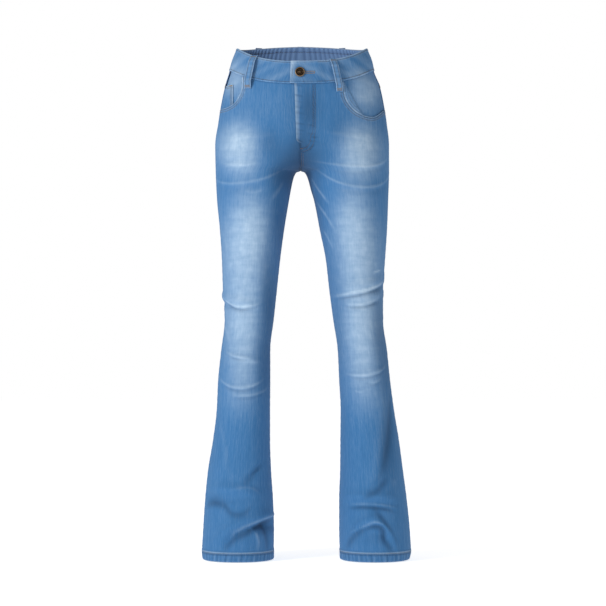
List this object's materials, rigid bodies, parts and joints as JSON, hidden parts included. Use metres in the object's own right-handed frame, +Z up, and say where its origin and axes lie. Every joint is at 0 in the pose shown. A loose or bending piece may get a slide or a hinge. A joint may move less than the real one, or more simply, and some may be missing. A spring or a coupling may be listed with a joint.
{
  "type": "flared jeans",
  "caption": "Low-rise jeans filled out as worn: fitted hips and thighs, narrow knees and legs that flare to wide hems, with scooped front pockets, a shank button and a lapped fly",
  "frame": {"origin": "The middle of the waist opening, level with the waistband's top edge at the sides, where the wearer holds the garment", "axes": "+Z up out of the waist, -Y the front with the fly, +X the wearer's left"},
  "size_m": [0.423, 0.2403, 1.0421],
  "materials": {
    "denim": "washed mid-blue stretch denim, faded on the thighs",
    "denim_inside": "reverse of the denim, greyer, finely gathered",
    "thread": "brown polyester topstitching thread",
    "zip_tape": "woven navy tape",
    "bronze": "antique bronze plating, dark in its recesses"
  },
  "bodies": {
    "root": {"front_left": "denim", "front_right": "denim", "back_left": "denim", "back_right": "denim", "yoke_left": "denim", "yoke_right": "denim", "pocket_facing_left": "denim", "pocket_facing_right": "denim", "coin_pocket": "denim", "back_pocket_left": "denim", "back_pocket_right": "denim", "waistband_left": "denim", "waistband_right": "denim", "waistband_inner": "denim_inside", "fly_underlap": "denim", "zip_tape": "zip_tape", "zip_slider": "bronze", "waist_button": "bronze", "belt_loop_front_left": "denim", "belt_loop_front_right": "denim", "belt_loop_side_left": "denim", "belt_loop_side_right": "denim", "belt_loop_back": "denim", "hem_left": "denim", "hem_right": "denim"}
  },
  "joints": []
}
